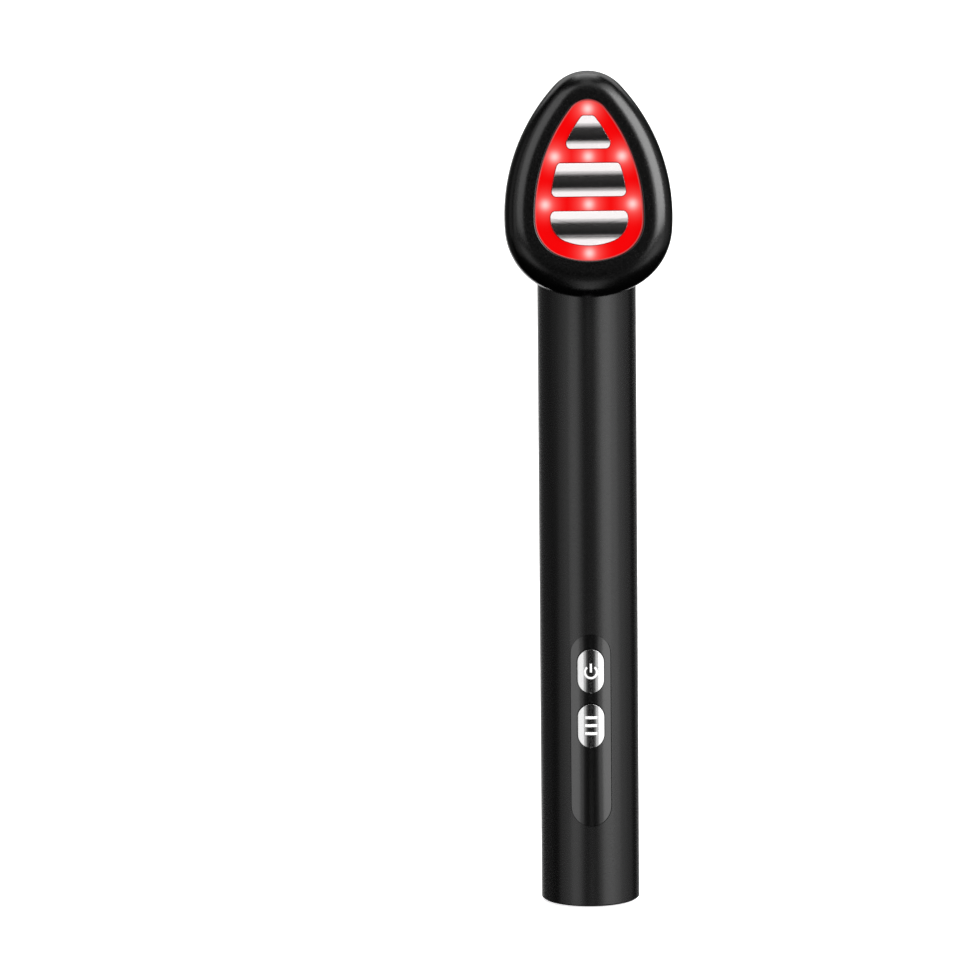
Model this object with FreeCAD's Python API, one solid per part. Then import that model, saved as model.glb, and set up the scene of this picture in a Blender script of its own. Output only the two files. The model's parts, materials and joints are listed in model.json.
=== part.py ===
import FreeCAD, Part
import math
import os

# Heated eye massager wand: a round handle, cut at a slant near its top, and a teardrop head
# that swivels on the slant through half a turn.
#
# Millimetres. +Z runs up the handle, the front is -Y, and the origin is the centre of the foot.
# The head and the neck are laid out in a frame of their own, called the seat frame: a to the
# right, b up the slanted seat, c out of it towards the user. Its origin is where the pivot's
# axis meets the seat, and the seat is the plane c = 0.

V = FreeCAD.Vector
X = V(1, 0, 0)
Y = V(0, 1, 0)
Z = V(0, 0, 1)

# ---- general fits ----------------------------------------------------------------------
slide_gap = 0.05          # between a plug and the bore that it sits in
seat_gap = 0.4            # between the slanted seat and the back of the head
running_gap = 0.05        # radial, between the pivot shaft and its bush

# ---- handle ----------------------------------------------------------------------------
tube_od = 19.5
tube_wall = 1.2
tube_top = 152.0          # where the tube ends at the back, under the dome
foot_chamfer = 0.3
seat_front_z = 123.0      # where the slanted seat leaves the front of the tube
seat_tilt = 11.0          # degrees from upright
seat_to_pivot = 21.5      # from there up the slope to the pivot

dome_rise = 5.5
dome_corner_r = 4.0       # the dome's edge; its middle is the large sphere that meets this
dome_wall = 1.4
dome_spigot = 2.0

# ---- charging end ----------------------------------------------------------------------
cap_height = 5.0
cap_floor = 1.6
cap_wall = 1.2
port_width = 8.94
port_height = 3.26
port_depth = 7.3
port_wall = 0.32
port_sink = 0.2           # the socket's mouth lies this far inside the foot
port_gap = 0.15
tongue_width = 6.7
tongue_thick = 0.7
tongue_sink = 0.8

# ---- control panel and keys --------------------------------------------------------------
panel_width = 8.0
panel_length = 38.7
panel_centre_z = 35.65
panel_sink = 0.15
panel_gap = 0.06
panel_flange = 0.8
panel_flange_thick = 0.65
key_width = 5.25
key_length = 8.75
key_gap = 0.15
key_pitch = 11.05
key_first_z = 47.7        # the power key
key_proud = 0.35          # top of its crown, beyond the tube's front
key_crown = 0.6
key_flange = 0.45
key_flange_gap = 0.1      # between the flange's rim and the panel's curved back
key_flange_thick = 0.4
key_travel = 0.5
key_stem_r = 1.0
seal_thick = 0.3
seal_width = 6.0
seal_margin = 2.0
seal_gap = 0.05
plunger_r = 0.7
plunger_length = 1.1
plunger_gap = 0.08
switch_size = 4.0
switch_height = 1.0

# ---- board, cell and chassis --------------------------------------------------------------
board_thick = 1.0
board_width = 10.6
board_bottom_z = 2.0
board_top_z = 59.0
chassis_wall = 1.1
chassis_bottom_z = 5.5
rail_inner_x = 4.4
rail_root = 0.6           # how far the rails run into the rear half
rail_gap = 1.3            # above the charging socket
cell_r = 5.0
cell_edge = 0.5
cell_length = 44.0
cell_bottom_z = 63.5
cell_tab_thick = 0.3
cell_tab_width = 5.0
cell_bulkhead = 1.5
pad_thick = 0.6
pad_width = 4.0
pad_length = 30.0
lead_slot = 2.4
pad_overlap = 0.6         # how far a pad reaches over the cell's side
chassis_screw_turn = 36.5 # degrees behind the handle's widest line
small_screw_r = 0.7
small_screw_head_r = 1.3
small_screw_head = 0.9
screw_bite = 5.0
board_screw_bite = 3.1
board_screw_low_z = 11.5
board_screw_top = 3.5     # from the board's top edge to the upper screw

# ---- what the boards carry -----------------------------------------------------------------
charger_size = 3.0
charger_height = 0.8
charger_rise = 10.0       # from the board's foot
chip_size = 4.0
chip_height = 0.9
chip_rise = 18.0
coil_r = 1.9
coil_height = 1.8
coil_rise = 28.0
capacitor_r = 1.6
capacitor_height = 3.0
capacitor_rise = 35.0
resistor_width = 0.8
resistor_length = 1.2
resistor_height = 0.45
resistor_pitch = 2.2
resistor_side = 2.6       # from the board's middle line
resistor_rise = 41.0
resistor_rows = 4
driver_size = 3.0
driver_height = 0.8
driver_b = -7.0
head_resistor_side = 6.5
head_resistor_b = -3.5
head_resistor_rows = 3

# ---- neck and pivot -------------------------------------------------------------------------
neck_bottom_z = 121.0
neck_wall = 1.4
neck_boss_r = 1.9
neck_boss_root = 0.75     # how far the screw bosses run into the neck's wall
seat_plate = 2.0
pivot_boss_r = 5.2
bush_wall = 0.8
bush_flange = 1.0
bush_flange_thick = 0.6
bush_length = 4.65
shaft_r = 3.0
shaft_bore_r = 2.0
shaft_flange_r = 6.0
shaft_flange_thick = 1.0
shaft_tail = 8.0          # length of the shaft behind the seat
ring_section = 0.84       # rubber friction ring about the shaft
washer_thick = 0.3
washer_width = 1.2
clip_thick = 0.55
clip_width = 1.6
clip_bite = 0.4           # how deep the clip sits in the shaft's groove
clip_mouth = 3.6
stack_gap = 0.05
stop_radius = 5.2
stop_pin_r = 0.6
stop_groove_depth = 1.5
stop_pin_gap = 0.12
flange_screw_radius = 4.6
flange_screw_r = 0.5
flange_screw_head_r = 0.95
flange_screw_head = 0.55
flange_screw_bite = 1.0
flange_screw_count = 3

# ---- head: outline -----------------------------------------------------------------------
head_length = 44.3
head_width = 32.9
head_tip_r = 8.8
head_flank_r = 37.6
head_shoulder_r = 13.4
head_end_r = 20.4
wide_rim = 6.95           # rim between the head's wide end and the insert
tip_rim = 5.8
side_rim = 5.85
insert_tip_r = 4.2
insert_flank_r = 34.0
insert_shoulder_r = 7.4
insert_end_r = 16.0

# ---- head: section -------------------------------------------------------------------------
parting_c = 5.5
crest_c = 12.6
lip_under_c = 10.05
rim_roll_r = 3.8          # outer roll of the rim
lip_roll_r = 1.0          # inner roll, which falls to the insert
back_roll_r = 4.2
shell_wall = 1.3
groove_margin = 1.1       # wall left on both sides of the hollow under the rim's crest
groove_c = 10.9
gasket_inset = 0.4
gasket_width = 0.5
gasket_height = 0.5
gasket_gap = 0.05

# ---- head: what it holds -------------------------------------------------------------------
guide_gap = 0.05
guide_flange = 1.1
guide_top_c = 11.15
guide_edge = 0.2
head_board_thick = 0.8
head_board_c = 8.0        # underside of the light board
head_board_margin = 0.8   # beyond the insert's edge
film_thick = 0.2
film_inset = 0.3
plate_margin = 2.75       # from the insert's edge to the plates
plate_tip_r = 2.4
plate_corner_r = 1.0
plate_foot_space = 3.0    # from the insert's wide end to the lower plate
plate_tip_space = 3.05    # from the upper plate to the insert's tip
plate_space = 2.55        # between neighbouring plates
plate_top_c = 12.0
plate_crown = 1.0
plate_gap = 0.12
plate_flange = 0.35
plate_flange_thick = 0.5
light_edge = 2.0          # from the insert's flank to the outer lights
light_tip = 1.8           # from the insert's tip to the top light
light_foot = 1.55         # from the insert's wide end to the bottom light
light_size = 1.0
light_height = 0.6
light_gap = 0.1
sensor_r = 0.6
motor_r = 2.1
motor_length = 8.0
motor_rise = 9.15         # from the head's wide end up to the motor's axis
motor_nose = 0.3
motor_shift = -1.2
boot_wall = 0.5
rotor_shaft_r = 0.4
hub_r = 0.8
rotor_shaft_length = 3.4
weight_r = 1.8
weight_length = 2.4
weight_standoff = 0.6
shell_screw_b = (9.0, -9.5)
shell_screw_inset = 3.0
shell_screw_r = 0.6
shell_screw_head_r = 1.2
shell_screw_head = 0.9
shell_screw_sink = 0.5
shell_boss_r = 1.7
shell_boss_root = 0.4     # how far the bosses run into the rim's crest

# ---- leads ------------------------------------------------------------------------------
lead_r = 0.7
lead_gap = 0.4            # between the lead and the cell's tabs
lead_rear_y = 4.6
lead_rise = 6.0           # above the cell, before it turns
lead_run = 0.45           # share of the shorter run that an arc may take
lead_bend_r = 20.0        # largest bend
connector_width = 3.0
connector_depth = 2.2
handle_connector_depth = 3.0
connector_height = 3.0
head_connector_b = 9.0

# ---- derived places -----------------------------------------------------------------------
tube_r = tube_od / 2
bore_r = tube_r - tube_wall
plug_r = bore_r - slide_gap
tilt = math.radians(seat_tilt)
up_slope = V(0, math.sin(tilt), math.cos(tilt))
pivot_point = V(0, -tube_r, seat_front_z) + up_slope * seat_to_pivot
seat_frame = FreeCAD.Placement(pivot_point, FreeCAD.Rotation(X, 90 - seat_tilt))
key_centres = {"power": key_first_z, "mode": key_first_z - key_pitch}
key_front_y = -tube_r - key_proud
panel_back_r = bore_r - panel_flange_thick
key_flange_y = key_flange_gap - math.sqrt(panel_back_r ** 2 - (key_width / 2 + key_flange) ** 2)
key_back_y = key_flange_y + key_flange_thick
seal_y = key_back_y + key_travel + seal_gap
board_front_y = seal_y + seal_thick + seal_gap + switch_height
board_back_y = board_front_y + board_thick
port_y = board_back_y + port_height / 2
plunger_y = board_front_y - key_travel - plunger_gap
lead_front_y = -(cell_r + cell_tab_thick + lead_gap + lead_r)
chassis_screw_radius = plug_r - neck_wall + neck_boss_root - neck_boss_r
cell_top_z = cell_bottom_z + cell_length
cell_end_gap = cell_tab_thick + pad_thick / 2
head_foot_b = -head_length / 2
back_c = seat_gap
floor_c = back_c + shell_wall
board_face_c = head_board_c + head_board_thick
film_c = board_face_c + film_thick
small_screw = (small_screw_r, small_screw_head_r, small_screw_head)
flange_screw = (flange_screw_r, flange_screw_head_r, flange_screw_head)
shell_screw = (shell_screw_r, shell_screw_head_r, shell_screw_head)
bush_r = shaft_r + running_gap
bush_outer_r = bush_r + bush_wall
bush_top_c = -ring_section - 2 * stack_gap
bush_bottom_c = bush_top_c - bush_length
washer_c = bush_bottom_c - bush_flange_thick - stack_gap
clip_c = washer_c - washer_thick - stack_gap
motor_b = head_foot_b + motor_rise
motor_c = floor_c + boot_wall + motor_r
insert_length = head_length - wide_rim - tip_rim
insert_width = head_width - 2 * side_rim
insert_foot_b = head_foot_b + wide_rim
insert_tip_b = insert_foot_b + insert_length
plate_height = (insert_length - plate_foot_space - plate_tip_space - 2 * plate_space) / 3


# ---- simple solids -------------------------------------------------------------------------
def rod(radius, start, end):
    """Round bar from one point to another."""
    return Part.makeCylinder(radius, (end - start).Length, start, end - start)


def upright(radius, z0, z1, x=0.0, y=0.0):
    """Round bar along the handle."""
    return rod(radius, V(x, y, z0), V(x, y, z1))


def pin(radius, c0, c1, a=0.0, b=0.0):
    """Round bar square to the seat, in the seat frame."""
    return rod(radius, V(a, b, c0), V(a, b, c1))


def block(x, y, z):
    """Box between pairs of limits."""
    return Part.makeBox(x[1] - x[0], y[1] - y[0], z[1] - z[0], V(x[0], y[0], z[0]))


def centred(size):
    """Limits of a length centred on zero."""
    return (-size / 2, size / 2)


def from_to(start, size):
    """Limits of a length that begins at start."""
    return (start, start + size)


def stadium(width, length, along, centre):
    """Face of two half circles and two straights, in the plane square to Y or to Z."""
    round_r = width / 2
    straight = (length - width) / 2
    across = Z if along == X else X
    ends = [centre + along * straight, centre - along * straight]
    side = across * round_r
    cap_a = Part.Arc(ends[0] + side, ends[0] + along * round_r, ends[0] - side).toShape()
    cap_b = Part.Arc(ends[1] - side, ends[1] - along * round_r, ends[1] + side).toShape()
    line_a = Part.LineSegment(ends[0] - side, ends[1] - side).toShape()
    line_b = Part.LineSegment(ends[1] + side, ends[0] + side).toShape()
    return Part.Face(Part.Wire([cap_a, line_a, cap_b, line_b]))


def key_prism(width, length, z, y0, y1):
    """Upright stadium bar through the front of the handle, from depth y0 to y1."""
    return stadium(width, length, Z, V(0, y0, z)).extrude(V(0, y1 - y0, 0))


def port_prism(grow, z0, z1):
    """Sideways stadium bar along the handle, for the charging socket."""
    round_r = port_height / 2 + grow
    straight = (port_width - port_height) / 2
    bar = block(centred(2 * straight), (port_y - round_r, port_y + round_r), (z0, z1))
    left = upright(round_r, z0, z1, -straight, port_y)
    right = upright(round_r, z0, z1, straight, port_y)
    return bar.fuse([left, right]).removeSplitter()


def joined(first, *others):
    """One solid from pieces that overlap."""
    return first.fuse(list(others)).removeSplitter()


def cut_by(shape, *tools):
    """Shape with each tool taken out of it."""
    return shape.cut(Part.makeCompound(list(tools)))


def group(solids):
    """Separate solids that share one node."""
    return Part.makeCompound(solids)


def on_seat(shape):
    """Shape laid out in the seat frame, put where the seat is."""
    placed = shape.copy()
    placed.Placement = seat_frame.multiply(placed.Placement)
    return placed


def in_front_of(c):
    """Everything on the user's side of a plane that is parallel to the seat."""
    reach = 2 * head_length
    return on_seat(block(centred(reach), centred(2 * tube_top), (c, c + reach)))


def edges_at(shape, level):
    """Edges of a shape that lie in one level plane."""
    def is_level(box):
        return abs(box.ZMin - level) < slide_gap and abs(box.ZMax - level) < slide_gap

    return [edge for edge in shape.Edges if is_level(edge.BoundBox)]


def ring(inner_r, outer_r, c0, c1):
    """Flat ring about the pivot's axis, in the seat frame."""
    return pin(outer_r, c0, c1).cut(pin(inner_r, c0, c1))


# ---- leads ----------------------------------------------------------------------------------
def lead_path(points):
    """Straight runs joined by tangent arcs, each as large as its two runs allow."""
    edges = []
    start = points[0]
    for before, corner, after in zip(points, points[1:], points[2:]):
        run_in = corner - before
        run_out = after - corner
        turn = run_in.getAngle(run_out)
        shorter = min(run_in.Length, run_out.Length)
        radius = min(lead_bend_r, lead_run * shorter / math.tan(turn / 2))
        reach = radius * math.tan(turn / 2)
        run_in.normalize()
        run_out.normalize()
        arc_start = corner - run_in * reach
        arc_end = corner + run_out * reach
        inward = run_out - run_in
        inward.normalize()
        middle = corner + inward * (radius / math.cos(turn / 2) - radius)
        edges.append(Part.LineSegment(start, arc_start).toShape())
        edges.append(Part.Arc(arc_start, middle, arc_end).toShape())
        start = arc_end
    edges.append(Part.LineSegment(start, points[-1]).toShape())
    return Part.Wire(edges)


def lead(points):
    """Round lead along its path."""
    path = lead_path(points)
    heading = points[1] - points[0]
    section = Part.Wire(Part.makeCircle(lead_r, points[0], heading))
    return path.makePipeShell([section], True, False)


# ---- handle -----------------------------------------------------------------------------------
def handle_tube():
    """Drawn tube, square at the foot and slanted at the seat, with the panel's opening."""
    body = upright(tube_r, 0, tube_top)
    body = body.makeChamfer(foot_chamfer, edges_at(body, 0))
    tube = body.cut(upright(bore_r, 0, tube_top))
    grow = 2 * panel_gap
    opening = key_prism(panel_width + grow, panel_length + grow, panel_centre_z, -tube_od, 0)
    return cut_by(tube, opening, in_front_of(0))


def control_panel():
    """Stadium inlay that follows the tube, with a flange behind the tube's wall and two key holes."""
    face = upright(tube_r - panel_sink, 0, tube_top)
    face = face.common(key_prism(panel_width, panel_length, panel_centre_z, -tube_od, 0))
    grow = 2 * panel_flange
    flange = upright(plug_r, 0, tube_top)
    flange = flange.common(key_prism(panel_width + grow, panel_length + grow, panel_centre_z, -tube_od, 0))
    inside = upright(panel_back_r, 0, tube_top)
    holes = [key_prism(key_width + 2 * key_gap, key_length + 2 * key_gap, z, -tube_od, 0)
             for z in key_centres.values()]
    return cut_by(joined(face, flange).cut(inside), *holes)


def key(z):
    """Stadium key crowned across its width, with a flange behind the panel and a stem to its switch."""
    crown_r = ((key_width / 2) ** 2 + key_crown ** 2) / (2 * key_crown)
    crown = upright(crown_r, z - key_length, z + key_length, 0, key_front_y + crown_r)
    cap = key_prism(key_width, key_length, z, key_front_y, key_flange_y).common(crown)
    grow = 2 * key_flange
    flange = key_prism(key_width + grow, key_length + grow, z, key_flange_y, key_back_y)
    stem = rod(key_stem_r, V(0, key_flange_y, z), V(0, plunger_y - plunger_length, z))
    return joined(cap, flange, stem)


def button_seal():
    """Soft mat across both keys, pierced by their stems."""
    length = key_pitch + key_length + 2 * seal_margin
    middle = sum(key_centres.values()) / len(key_centres)
    mat = key_prism(seal_width, length, middle, seal_y, seal_y + seal_thick)
    holes = [rod(key_stem_r + key_gap, V(0, -tube_r, z), V(0, 0, z)) for z in key_centres.values()]
    return cut_by(mat, *holes)


def plunger(z):
    """Switch actuator, which travels with its key."""
    return rod(plunger_r, V(0, plunger_y - plunger_length, z), V(0, plunger_y, z))


def switch_bodies():
    """Two switches on the board, each open in front for its plunger."""
    bodies = []
    for z in key_centres.values():
        body = block(centred(switch_size), from_to(board_front_y - switch_height, switch_height),
                     (z - switch_size / 2, z + switch_size / 2))
        bodies.append(body.cut(rod(plunger_r + plunger_gap, V(0, -tube_r, z), V(0, 0, z))))
    return group(bodies)


def end_cap():
    """Cup that closes the foot flush, with the charging socket's opening."""
    cup = upright(plug_r, 0, cap_height).cut(upright(plug_r - cap_wall, cap_floor, cap_height))
    return cut_by(cup, port_prism(port_gap, -cap_floor, cap_height))


def usb_socket_shell():
    """Folded metal shell of the charging socket, closed at its inner end."""
    outer = port_prism(0, port_sink, port_sink + port_depth)
    inner = port_prism(-port_wall, 0, port_sink + port_depth - port_wall)
    return outer.cut(inner)


def usb_socket_tongue():
    """Contact tongue that stands up from the socket's inner end."""
    return block(centred(tongue_width), from_to(port_y - tongue_thick / 2, tongue_thick),
                 (port_sink + tongue_sink, port_sink + port_depth - port_wall))


def control_board():
    """Printed board behind the panel, drilled for its two screws."""
    board = block(centred(board_width), from_to(board_front_y, board_thick), (board_bottom_z, board_top_z))
    return cut_by(board, *[rod(small_screw_r, V(x, -tube_r, z), V(x, 0, z)) for x, z in board_screw_spots()])


def board_screw_spots():
    """Places of the two board screws, on opposite rails."""
    x = (board_width / 2 + rail_inner_x) / 2 - small_screw_r
    return [(-x, board_screw_low_z), (x, board_top_z - board_screw_top)]


def on_board(size, height, rise):
    """Square chip on the back of the board, at a rise from the board's foot."""
    return block(centred(size), from_to(board_back_y, height), from_to(board_bottom_z + rise, size))


def round_on_board(radius, height, rise):
    """Round component on the back of the board."""
    foot = V(0, board_back_y, board_bottom_z + rise)
    return rod(radius, foot, foot + Y * height)


def board_components():
    """Charging and control chips, coil, capacitor and resistors behind the board, lead socket in front."""
    parts = [
        on_board(charger_size, charger_height, charger_rise),
        on_board(chip_size, chip_height, chip_rise),
        round_on_board(coil_r, coil_height, coil_rise),
        round_on_board(capacitor_r, capacitor_height, capacitor_rise),
        block(centred(connector_width), (board_front_y - handle_connector_depth, board_front_y),
              (board_top_z - connector_height, board_top_z)),
    ]
    for row in range(resistor_rows):
        z = board_bottom_z + resistor_rise + row * resistor_pitch
        for side in (-1, 1):
            x = side * resistor_side - resistor_width / 2
            parts.append(block(from_to(x, resistor_width), from_to(board_back_y, resistor_height),
                               from_to(z, resistor_length)))
    return group(parts)


def screw(start, heading, length, size):
    """Pan-head screw: start is under the head, heading the way that it is driven."""
    radius, head_r, head = size
    shank = rod(radius, start, start + heading * length)
    cap = rod(head_r, start - heading * head, start)
    return joined(cap, shank)


def board_screws():
    """Two screws through the board into the chassis rails."""
    length = board_thick + board_screw_bite
    return group([screw(V(x, board_front_y, z), Y, length, small_screw) for x, z in board_screw_spots()])


def chassis():
    """Trough behind board and cell: rails for the board, bulkheads at the cell's ends."""
    wall = upright(plug_r, chassis_bottom_z, neck_bottom_z).cut(
        upright(plug_r - chassis_wall, chassis_bottom_z, neck_bottom_z))
    rear_half = block(centred(tube_od), (0, tube_od), (0, tube_top))
    trough = wall.common(rear_half)
    plug = upright(plug_r, chassis_bottom_z, neck_bottom_z)
    rails = []
    for side in (-1, 1):
        inner = side * rail_inner_x
        outer = side * tube_r
        rail = block(sorted((inner, outer)), (board_back_y, rail_root),
                     (port_sink + port_depth + rail_gap, board_top_z))
        rails.append(rail.common(plug))
    bulkheads = []
    below_cell = cell_bottom_z - cell_end_gap - cell_bulkhead
    for z in (below_cell, cell_top_z + cell_end_gap, neck_bottom_z - cell_bulkhead):
        disc = upright(plug_r, z, z + cell_bulkhead)
        slot = block(centred(lead_slot), (-tube_r, lead_front_y + lead_slot / 2), (z, z + cell_bulkhead))
        bulkheads.append(disc.cut(slot))
    above_cell = cell_top_z + cell_end_gap + cell_bulkhead
    lead_hole = block(centred(lead_slot), (-tube_r, lead_rear_y + lead_slot / 2), (above_cell, tube_top))
    body = joined(trough, *rails, *bulkheads)
    screw_holes = [upright(small_screw_r, above_cell, tube_top, x, y) for x, y in chassis_screw_spots()]
    bite = board_back_y + board_screw_bite
    pilot_holes = [rod(small_screw_r, V(x, -tube_r, z), V(x, bite, z)) for x, z in board_screw_spots()]
    return cut_by(body, lead_hole, *screw_holes, *pilot_holes)


def chassis_screw_spots():
    """Places of the two screws between chassis and neck."""
    turn = math.radians(chassis_screw_turn)
    x = chassis_screw_radius * math.cos(turn)
    y = chassis_screw_radius * math.sin(turn)
    return [(-x, y), (x, y)]


def chassis_screws():
    """Two screws up through the chassis into the neck."""
    start_z = neck_bottom_z - cell_bulkhead
    length = cell_bulkhead + screw_bite
    return group([screw(V(x, y, start_z), Z, length, small_screw) for x, y in chassis_screw_spots()])


def battery_cell():
    """Round lithium cell with eased ends."""
    can = upright(cell_r, cell_bottom_z, cell_top_z)
    return can.makeChamfer(cell_edge, edges_at(can, cell_bottom_z) + edges_at(can, cell_top_z))


def battery_tabs():
    """Nickel strips across both ends of the cell, turned down along its front."""
    tabs = []
    front = -cell_r - cell_tab_thick
    for z, way in ((cell_bottom_z, -1), (cell_top_z, 1)):
        outer = z + way * cell_tab_thick
        leg_end = z - way * cell_tab_width
        strip = block(centred(cell_tab_width), (front, cell_r / 2), sorted((z, outer)))
        leg = block(centred(cell_tab_width / 2), (front, -cell_r), sorted((leg_end, outer)))
        tabs.append(joined(strip, leg))
    return group(tabs)


def cell_pads():
    """Two foam strips between the cell and the trough."""
    pads = []
    inner = plug_r - chassis_wall
    for side in (-1, 1):
        strip = block(from_to(side * (cell_r - pad_overlap) - pad_width / 2, pad_width), (0, tube_r),
                      from_to(cell_bottom_z + (cell_length - pad_length) / 2, pad_length))
        hollow = upright(inner, 0, tube_top).cut(upright(cell_r, 0, tube_top))
        pads.append(hollow.common(strip))
    return group(pads)


def handle_lead():
    """Lead from the board, past the cell, up to the pivot's axis behind the shaft and out along it."""
    points = [
        V(0, lead_front_y, board_top_z),
        V(0, lead_front_y, cell_top_z + lead_rise),
        seat_frame.multVec(V(0, 0, -(lead_rear_y - pivot_point.y) / math.cos(tilt))),
        pivot_point,
    ]
    return lead(points)


# ---- neck and pivot -----------------------------------------------------------------------------
def neck_plug():
    """Hollow plug in the tube's top whose slanted plate is the seat, with the pivot's boss."""
    plug = upright(plug_r, neck_bottom_z, tube_top)
    hollow = upright(plug_r - neck_wall, neck_bottom_z, tube_top).cut(in_front_of(-seat_plate))
    body = plug.cut(hollow).cut(in_front_of(0))
    boss = on_seat(pin(pivot_boss_r, bush_bottom_c, -seat_plate / 2))
    boss_top = neck_bottom_z + screw_bite + small_screw_r
    spots = chassis_screw_spots()
    bosses = [upright(neck_boss_r, neck_bottom_z, boss_top, x, y).common(plug) for x, y in spots]
    bores = [on_seat(pin(bush_outer_r, bush_bottom_c, seat_gap)),
             on_seat(pin(shaft_r + ring_section + stack_gap, bush_top_c, seat_gap)),
             on_seat(stop_groove())]
    bores += [upright(small_screw_r, neck_bottom_z, neck_bottom_z + screw_bite, x, y) for x, y in spots]
    return cut_by(joined(body, boss, *bosses), *bores)


def stop_groove():
    """Half-turn groove for the stop pin, with round ends, in the seat frame."""
    reach = stop_pin_r + stop_pin_gap
    track = ring(stop_radius - reach, stop_radius + reach, -stop_groove_depth, seat_gap)
    wide = 2 * stop_radius
    upper = block((-wide, wide), (0, wide), (-stop_groove_depth, seat_gap))
    ends = [pin(reach, -stop_groove_depth, seat_gap, side * stop_radius) for side in (-1, 1)]
    return joined(track.common(upper), *ends)


def dome_solid(inward):
    """Low dome turned about the handle's axis: a rounded edge and a large sphere that meet smoothly."""
    corner_r = dome_corner_r - inward
    centre_x = tube_r - dome_corner_r
    above = dome_rise - dome_corner_r
    sphere_drop = (centre_x ** 2 - above ** 2) / (2 * above)
    sphere_r = dome_rise + sphere_drop - inward
    corner = V(centre_x, 0, tube_top)
    sphere = V(0, 0, tube_top - sphere_drop)
    top = sphere + Z * sphere_r
    meeting = toward(sphere, corner, sphere_r)
    side = corner + X * corner_r
    edge_arc = Part.Arc(side, toward(corner, side + meeting - corner, corner_r), meeting).toShape()
    top_arc = Part.Arc(meeting, toward(sphere, top + meeting - sphere, sphere_r), top).toShape()
    base = Part.LineSegment(V(0, 0, tube_top), side).toShape()
    axis = Part.LineSegment(top, V(0, 0, tube_top)).toShape()
    return Part.Face(Part.Wire([base, edge_arc, top_arc, axis])).revolve(V(), Z, 360)


def neck_dome():
    """Domed cover of the tube's top with a spigot inside the neck, sliced by the seat."""
    spigot_r = plug_r - neck_wall - slide_gap
    spigot = upright(spigot_r, tube_top - dome_spigot, tube_top).cut(in_front_of(-seat_plate - slide_gap))
    room = upright(spigot_r - dome_wall, tube_top - dome_spigot, tube_top + dome_rise)
    below = upright(tube_r, tube_top - dome_spigot, tube_top)
    inside = joined(dome_solid(dome_wall), below).common(room).cut(in_front_of(-seat_plate - dome_wall))
    return joined(dome_solid(0).cut(in_front_of(0)), spigot).cut(inside)


def pivot_bush():
    """Flanged sleeve that the shaft turns in, pressed into the neck from behind."""
    sleeve = ring(bush_r, bush_outer_r, bush_bottom_c, bush_top_c)
    flange = ring(bush_r, bush_outer_r + bush_flange, bush_bottom_c - bush_flange_thick, bush_bottom_c)
    return on_seat(joined(sleeve, flange))


def pivot_shaft():
    """Hollow shaft: flange inside the head, clip groove near its tail."""
    tail = -shaft_tail
    shaft = joined(pin(shaft_r, tail, floor_c), pin(shaft_flange_r, floor_c, floor_c + shaft_flange_thick))
    groove = ring(shaft_r - clip_bite, shaft_r + clip_width, clip_c - clip_thick, clip_c)
    flange_top = floor_c + shaft_flange_thick
    bore = pin(shaft_bore_r, tail, flange_top)
    holes = [pin(flange_screw_r, floor_c, flange_top, a, b) for a, b in flange_screw_spots()]
    return on_seat(cut_by(shaft, groove, bore, *holes))


def friction_ring():
    """Rubber ring about the shaft that gives the swivel its drag."""
    inner = shaft_r + stack_gap / 2
    return on_seat(ring(inner, inner + ring_section, -ring_section - stack_gap, -stack_gap))


def wave_washer():
    """Spring washer between the bush and the clip, pressed flat."""
    inner = shaft_r + stack_gap
    return on_seat(ring(inner, inner + washer_width, washer_c - washer_thick, washer_c))


def retaining_clip():
    """Open ring in the shaft's groove."""
    inner = shaft_r - clip_bite
    clip = ring(inner, inner + clip_width, clip_c - clip_thick, clip_c)
    mouth = block(centred(clip_mouth), (0, 2 * shaft_r), (clip_c - clip_thick, clip_c))
    return on_seat(clip.cut(mouth))


def stop_pin():
    """Pin pressed into the head's back that runs in the seat's groove."""
    end = stop_pin_gap - stop_groove_depth
    body = pin(stop_pin_r, end, floor_c, stop_radius)
    return on_seat(body)


def flange_screw_spots():
    """Places of the flange's screws, evenly about the pivot with one at the top."""
    spots = []
    for turn in range(flange_screw_count):
        angle = math.pi / 2 + 2 * math.pi * turn / flange_screw_count
        spots.append((flange_screw_radius * math.cos(angle), flange_screw_radius * math.sin(angle)))
    return spots


def flange_screws():
    """Screws from inside the head through the shaft's flange into the shell's floor."""
    under = floor_c + shaft_flange_thick
    length = shaft_flange_thick + flange_screw_bite
    return on_seat(group([screw(V(a, b, under), -Z, length, flange_screw) for a, b in flange_screw_spots()]))


# ---- head: outlines -------------------------------------------------------------------------------
outer_drop = (head_length, head_width, head_tip_r, head_flank_r, head_shoulder_r, head_end_r, head_foot_b)
insert_drop = (insert_length, insert_width, insert_tip_r, insert_flank_r, insert_shoulder_r, insert_end_r,
               insert_foot_b)


def inset(drop, distance):
    """Outline moved inwards by a distance, which keeps its arcs' centres."""
    length, width, tip_r, flank_r, shoulder_r, end_r, foot = drop
    return (length - 2 * distance, width - 2 * distance, tip_r - distance, flank_r - distance,
            shoulder_r - distance, end_r - distance, foot + distance)


def arc_centres(drop):
    """Centres of the tip, flank, shoulder and wide-end arcs on the right-hand side."""
    length, width, tip_r, flank_r, shoulder_r, end_r, foot = drop
    tip = V(0, foot + length - tip_r, 0)
    flank_a = width / 2 - flank_r
    flank = V(flank_a, tip.y - math.sqrt((flank_r - tip_r) ** 2 - flank_a ** 2), 0)
    end = V(0, foot + end_r, 0)
    to_flank = flank_r - shoulder_r
    to_end = end_r - shoulder_r
    between = end - flank
    along = (to_flank ** 2 - to_end ** 2 + between.Length ** 2) / (2 * between.Length)
    aside = math.sqrt(to_flank ** 2 - along ** 2)
    between.normalize()
    shoulder = flank + between * along + V(between.y, -between.x, 0) * aside
    return tip, flank, shoulder, end


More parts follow.
